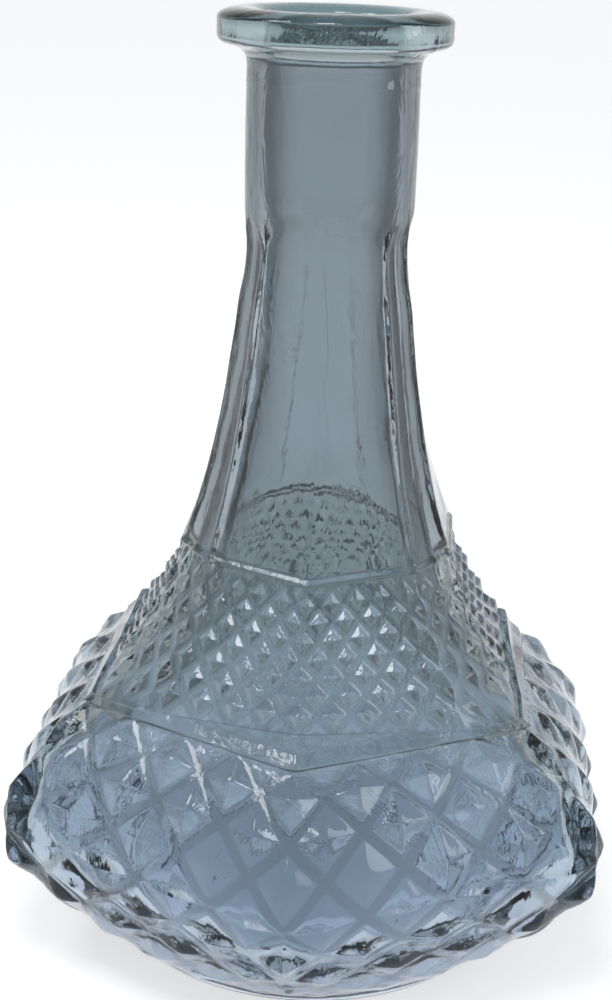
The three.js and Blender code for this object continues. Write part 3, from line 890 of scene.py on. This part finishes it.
def vessel_glass(finish):
    """Smoky clear glass, tinted at each surface and in its depth, with light and shade painted into its tints
    by height and at the neck's sides, and with darker and duller valleys, the darkness painted shade.
    """
    material = bpy.data.materials.new("smoky_clear_glass")
    t = empty_tree(material)
    place = t.node("ShaderNodeTexCoord").outputs["Object"]
    level = t.node("ShaderNodeSeparateXYZ", {0: place}).outputs[2]
    cloud = t.node("ShaderNodeTexNoise", {"Vector": place, "Scale": 26.0, "Detail": 3.0, "Roughness": 0.5})
    blur = t.math("MULTIPLY_ADD", cloud.outputs[0], CLOUD_DEPTH, level)
    # Painted light and shade by height: the bowl lighter and more lavender, the shoulder darker than the neck
    body = t.tint(t.ramp(blur, BOWL_TO_SHOULDER), finish.bowl_tint_with_painted_light, finish.shoulder_tint_with_painted_shade)
    # Painted shade: the neck's sides, seen at a slant, darken towards the edge tint
    slant = t.node("ShaderNodeLayerWeight").outputs["Facing"]
    tube = t.tint(t.ramp(slant, EDGE_SPAN), finish.neck_tint, finish.edge_shade_tint)
    neck = t.tint(t.ramp(blur, SHOULDER_TO_NECK), body, tube)
    # Painted shade: the collar's rounded top darkens to the crown tint
    collar = t.tint(t.ramp(level, COLLAR_TO_CROWN), finish.collar_tint_with_painted_light, finish.crown_shade_tint)
    clear = t.tint(t.ramp(level, NECK_TO_COLLAR), neck, collar)
    shade_and_frost_here = t.node("ShaderNodeAttribute", attribute_name="haze", attribute_type="GEOMETRY").outputs["Fac"]
    # Painted shade: strips, bands and narrow faces turn towards the valley tint
    colour = t.tint(t.math("MULTIPLY", shade_and_frost_here, finish.valley_shade_share), clear, finish.valley_shade_colour)

    stretched = t.node("ShaderNodeMapping", {"Vector": place, "Scale": (1.0, 1.0, 0.35)}).outputs[0]
    streaks = t.node("ShaderNodeTexNoise", {"Vector": stretched, "Scale": 90.0, "Detail": 4.0,
                                            "Roughness": 0.6, "Distortion": 1.2}).outputs[0]
    rough = t.ramp(streaks, (0.0, 1.0), [finish.roughness * end for end in ROUGHNESS_ENDS])
    frosted = t.math("MULTIPLY_ADD", shade_and_frost_here, finish.valley_roughness, rough)
    bump = t.node("ShaderNodeBump", {"Height": streaks, "Strength": finish.skin_bump, "Distance": 0.0006})
    flat = t.vector("MULTIPLY", {0: place, 1: (1.0, 1.0, 0.0)})
    reach = t.node("ShaderNodeVectorMath", {0: flat}, operation="LENGTH").outputs["Value"]
    glass = t.node("ShaderNodeBsdfPrincipled", {
        "Base Color": colour, "Roughness": frosted, "Transmission Weight": 1.0, "Normal": bump.outputs[0],
        "IOR": t.ramp(reach, CORNER_SPAN, (finish.ior, finish.corner_ior))})
    depth = t.node("ShaderNodeVolumeAbsorption", {"Color": (*finish.depth_tint, 1.0),
                                                  "Density": finish.depth_density})
    t.node("ShaderNodeOutputMaterial", {"Surface": glass.outputs[0], "Volume": depth.outputs[0]})
    return material


class VesselShape(bpy.types.PropertyGroup):
    """Sizes of the cut and of the glass's skin."""

    large_strip: FloatProperty(
        name="Large strip", description="Flat strip's share of a large diamond",
        default=0.18, **HALF_SHARE)
    small_strip: FloatProperty(
        name="Small strip", description="Flat strip's share of a small diamond", default=0.3, **HALF_SHARE)
    ridge_softness: FloatProperty(
        name="Ridge softness", description="Rounding of the diamonds' ridges", default=0.12, **HALF_SHARE)
    tip_rounding: FloatProperty(
        name="Tip rounding", description="Bluntness of the diamonds' tips", default=0.14, **HALF_SHARE)
    small_softness: FloatProperty(
        name="Small cut softness", description="Share of both that small diamonds take",
        default=0.4, **SHARE)
    foot_softness: FloatProperty(
        name="Foot softness", description="Rounding where a diamond meets its strip",
        default=0.1, **HALF_SHARE)
    seam_height: FloatProperty(
        name="Seam height", description="Height of the mould seam", default=0.00022, **LENGTH)
    waviness: FloatProperty(
        name="Waviness", description="Unevenness of the glass's skin", default=0.0008, **LENGTH)
    wave_scale: FloatProperty(name="Wave scale", description="Waves per metre", default=70.0)
    wave_seed: IntProperty(name="Wave seed", description="Picks one pattern of waves", default=7)


class GlassFinish(bpy.types.PropertyGroup):
    """Colours and gloss of the glass, with painted light and shade in its tints."""

    neck_tint: FloatVectorProperty(
        name="Neck tint", description="Tint of each surface of the neck",
        default=(0.47, 0.52, 0.56), **COLOUR)
    # Painted shade on the neck's sides
    edge_shade_tint: FloatVectorProperty(
        name="Edge tint", description="Tint of the neck's sides, seen at a slant",
        default=(0.09, 0.115, 0.13), **COLOUR)
    # Painted light: the collar's face lighter than the neck
    collar_tint_with_painted_light: FloatVectorProperty(
        name="Collar tint", description="Tint of each surface of the collar",
        default=(0.6, 0.69, 0.71), **COLOUR)
    # Painted shade: a dark band over the collar's rounded top
    crown_shade_tint: FloatVectorProperty(
        name="Crown tint", description="Tint of the collar's rounded top",
        default=(0.05, 0.1, 0.11), **COLOUR)
    # Painted shade: the shoulder darker than the neck
    shoulder_tint_with_painted_shade: FloatVectorProperty(
        name="Shoulder tint", description="Tint of each surface of the shoulder",
        default=(0.41, 0.467, 0.488), **COLOUR)
    # Painted light: the bowl lighter and more lavender than the neck
    bowl_tint_with_painted_light: FloatVectorProperty(
        name="Bowl tint", description="Tint of each surface of the bowl",
        default=(0.62, 0.7, 0.83), **COLOUR)
    # Painted shade of the strips between the diamonds and of the plain bands
    valley_shade_colour: FloatVectorProperty(
        name="Valley tint", description="Tint of the strips and the plain bands",
        default=(0.24, 0.285, 0.285), **COLOUR)
    valley_shade_share: FloatProperty(
        name="Valley painted shade", description="How far strips and bands take that tint", default=0.6, **SHARE)
    depth_tint: FloatVectorProperty(
        name="Depth tint", description="Colour that thick glass turns to",
        default=(0.49, 0.6, 0.65), **COLOUR)
    depth_density: FloatProperty(
        name="Depth density", description="Absorption per metre of glass", default=22.0)
    roughness: FloatProperty(
        name="Roughness", description="Mean roughness of the skin", default=0.02, **SHARE)
    valley_roughness: FloatProperty(
        name="Valley roughness", description="Extra roughness in valleys and bands", default=0.08, **SHARE)
    skin_bump: FloatProperty(
        name="Skin bump", description="Strength of the fine flow lines", default=0.5, **SHARE)
    ior: FloatProperty(name="Refraction", description="Index of refraction", default=1.42)
    corner_ior: FloatProperty(
        name="Corner refraction", description="The same at the bowl's thick corners", default=1.25)


class StudioSetup(bpy.types.PropertyGroup):
    """Camera, floor and lamps."""

    lens: FloatProperty(name="Lens", description="Focal length", default=65.9, unit="CAMERA")
    camera_distance: FloatProperty(
        name="Distance", description="Level distance from the axis", default=0.5069, **LENGTH)
    camera_height: FloatProperty(
        name="Camera height", description="Height above the floor", default=0.2987, **LENGTH)
    camera_pitch: FloatProperty(
        name="Pitch", description="Downward tilt", default=math.radians(18.3), **ANGLE)
    camera_roll: FloatProperty(
        name="Roll", description="Tilt of the frame", default=math.radians(1.8), **ANGLE)
    camera_yaw: FloatProperty(
        name="Yaw", description="Aim to the left of the axis", default=math.radians(0.45), **ANGLE)
    camera_orbit: FloatProperty(
        name="Orbit", description="Turn of the camera around the vessel",
        default=math.radians(3.4), **ANGLE)
    floor_colour: FloatVectorProperty(
        name="Floor colour", description="Colour of the floor", default=(0.5, 0.5, 0.5), **COLOUR)
    backdrop_lift: FloatProperty(
        name="Backdrop lift", description="White added to the floor as camera, gloss and glass see it",
        default=0.6)
    sky_strength: FloatProperty(name="Sky strength", description="Soft light from all round", default=0.7)
    sky_sides: FloatProperty(
        name="Backdrop at the sides", description="Brightness of the backdrop's ends, as glass shows it",
        default=0.75)
    sky_top: FloatProperty(
        name="Backdrop overhead", description="Brightness of the backdrop's top, as glass shows it",
        default=0.6)
    key_power: FloatProperty(name="Key power", description="Main lamp", default=2.5, unit="POWER")
    top_power: FloatProperty(name="Top power", description="Lamp overhead", default=3.2, unit="POWER")
    side_power: FloatProperty(name="Side power", description="Side lamp", default=2.0, unit="POWER")


def seen_rays(t):
    """One for rays that see the backdrop: the camera's own, and those in reflections and through glass."""
    rays = t.node("ShaderNodeLightPath").outputs
    return t.math("MAXIMUM", rays["Is Camera Ray"],
                  t.math("MAXIMUM", rays["Is Glossy Ray"], rays["Is Transmission Ray"]))


def studio_world(setup):
    """Soft light for the object, and a white backdrop, greyer to its sides and overhead in the glass."""
    world = bpy.data.worlds.new("soft_studio")
    t = empty_tree(world)
    soft = t.node("ShaderNodeBackground", {"Color": COOL_SKY, "Strength": setup.sky_strength})
    way = t.node("ShaderNodeSeparateXYZ", {0: t.node("ShaderNodeTexCoord").outputs["Generated"]}).outputs
    sides = t.ramp(t.math("MULTIPLY", way[1], way[1]), FRONT_SPAN, (setup.sky_sides, 1.0))
    overhead = t.ramp(way[2], UPWARD_SPAN, (1.0, setup.sky_top))
    glow = t.math("MAXIMUM", t.math("MULTIPLY", sides, overhead),
                  t.node("ShaderNodeLightPath").outputs["Is Camera Ray"])
    backdrop = t.node("ShaderNodeBackground", {"Color": WHITE, "Strength": glow})
    both = t.node("ShaderNodeMixShader", {0: seen_rays(t), 1: soft.outputs[0], 2: backdrop.outputs[0]})
    t.node("ShaderNodeOutputWorld", {"Surface": both.outputs[0]})
    bpy.context.scene.world = world


def studio_floor(setup):
    """A wide pale floor that keeps the vessel's shadow and is near white behind it."""
    mesh = bpy.data.meshes.new("floor")
    corners = [(x * FLOOR_HALF, y * FLOOR_HALF, 0) for x, y in ((-1, -1), (1, -1), (1, 1), (-1, 1))]
    mesh.from_pydata(corners, [], [(0, 1, 2, 3)])
    floor = place_object("floor", mesh)
    material = bpy.data.materials.new("pale_floor")
    t = empty_tree(material)
    paper = t.node("ShaderNodeBsdfDiffuse", {"Color": (*setup.floor_colour, 1.0), "Roughness": 1.0})
    white = t.node("ShaderNodeEmission", {"Color": WHITE,
                                          "Strength": t.math("MULTIPLY", seen_rays(t), setup.backdrop_lift)})
    both = t.node("ShaderNodeAddShader", {0: paper.outputs[0], 1: white.outputs[0]})
    t.node("ShaderNodeOutputMaterial", {"Surface": both.outputs[0]})
    mesh.materials.append(material)


def studio_lamp(name, place, aim, size, power, colour):
    """An oval softbox that lights and glosses the glass but isn't seen, not through it either."""
    data = bpy.data.lights.new(name, "AREA")
    data.shape = "ELLIPSE"
    data.size, data.size_y = size
    data.energy = power
    data.color = colour
    lamp = place_object(name, data)
    lamp.location = place
    lamp.rotation_euler = (Vector(aim) - Vector(place)).to_track_quat("-Z", "Y").to_euler()
    lamp.visible_camera = lamp.visible_transmission = False


def studio_camera(setup):
    """The photograph's point of view."""
    data = bpy.data.cameras.new("photo_view")
    data.lens = setup.lens
    data.sensor_width = SENSOR_WIDTH
    camera = place_object("photo_view", data)
    place = Vector((0.0, -setup.camera_distance, setup.camera_height))
    look = (Matrix.Rotation(setup.camera_yaw, 4, "Z")
            @ Matrix.Rotation(math.pi / 2 - setup.camera_pitch, 4, "X")
            @ Matrix.Rotation(setup.camera_roll, 4, "Z"))
    orbit = Matrix.Rotation(setup.camera_orbit, 4, "Z")
    camera.matrix_world = orbit @ Matrix.Translation(place) @ look
    bpy.context.scene.camera = camera


class DECANTER_OT_vessel(bpy.types.Operator):
    """Build the glass vessel, cut its diamonds and put it in the solid's place"""

    bl_idname = "decanter.vessel"
    bl_label = "Build glass vessel"

    def execute(self, context):
        shape = context.scene.decanter_shape
        values = {name: getattr(shape, prop) for name, prop in CUT_INPUTS.items()}
        values["Glass"] = vessel_glass(context.scene.decanter_glass)
        vessel = grow(vessel_skin(), "glass_body", diamond_tree(), values)
        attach(vessel, "root")
        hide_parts(VESSEL_NODE)
        return {"FINISHED"}


class DECANTER_OT_studio(bpy.types.Operator):
    """Set up the pale floor, the soft lamps and the camera"""

    bl_idname = "decanter.studio"
    bl_label = "Set up studio"

    def execute(self, context):
        setup = context.scene.decanter_studio
        studio_world(setup)
        studio_floor(setup)
        for name, place, aim, size, power, colour in LAMPS:
            studio_lamp(name, place, aim, size, getattr(setup, power), colour)
        studio_camera(setup)
        context.scene.view_settings.view_transform = "Standard"
        return {"FINISHED"}


class DECANTER_PT_sidebar(bpy.types.Panel):
    """Lists the decanter's steps and sizes"""

    bl_idname = "DECANTER_PT_sidebar"
    bl_label = "Decanter"
    bl_space_type = "VIEW_3D"
    bl_region_type = "UI"
    bl_category = "Decanter"

    def draw(self, context):
        for owner in ("decanter_shape", "decanter_glass", "decanter_studio"):
            group = getattr(context.scene, owner)
            box = self.layout.box()
            for name in group.__annotations__:
                box.prop(group, name)
        self.layout.operator(DECANTER_OT_vessel.bl_idname)
        self.layout.operator(DECANTER_OT_studio.bl_idname)


CLASSES = (VesselShape, GlassFinish, StudioSetup, DECANTER_OT_vessel, DECANTER_OT_studio,
           DECANTER_PT_sidebar)
GROUPS = {"decanter_shape": VesselShape, "decanter_glass": GlassFinish, "decanter_studio": StudioSetup}


def register():
    for item in CLASSES:
        bpy.utils.register_class(item)
    for name, group in GROUPS.items():
        setattr(bpy.types.Scene, name, PointerProperty(type=group))


def unregister():
    for name in GROUPS:
        delattr(bpy.types.Scene, name)
    for item in reversed(CLASSES):
        bpy.utils.unregister_class(item)


def main():
    register()
    bpy.ops.decanter.vessel()
    bpy.ops.decanter.studio()


if __name__ == "__main__":
    main()
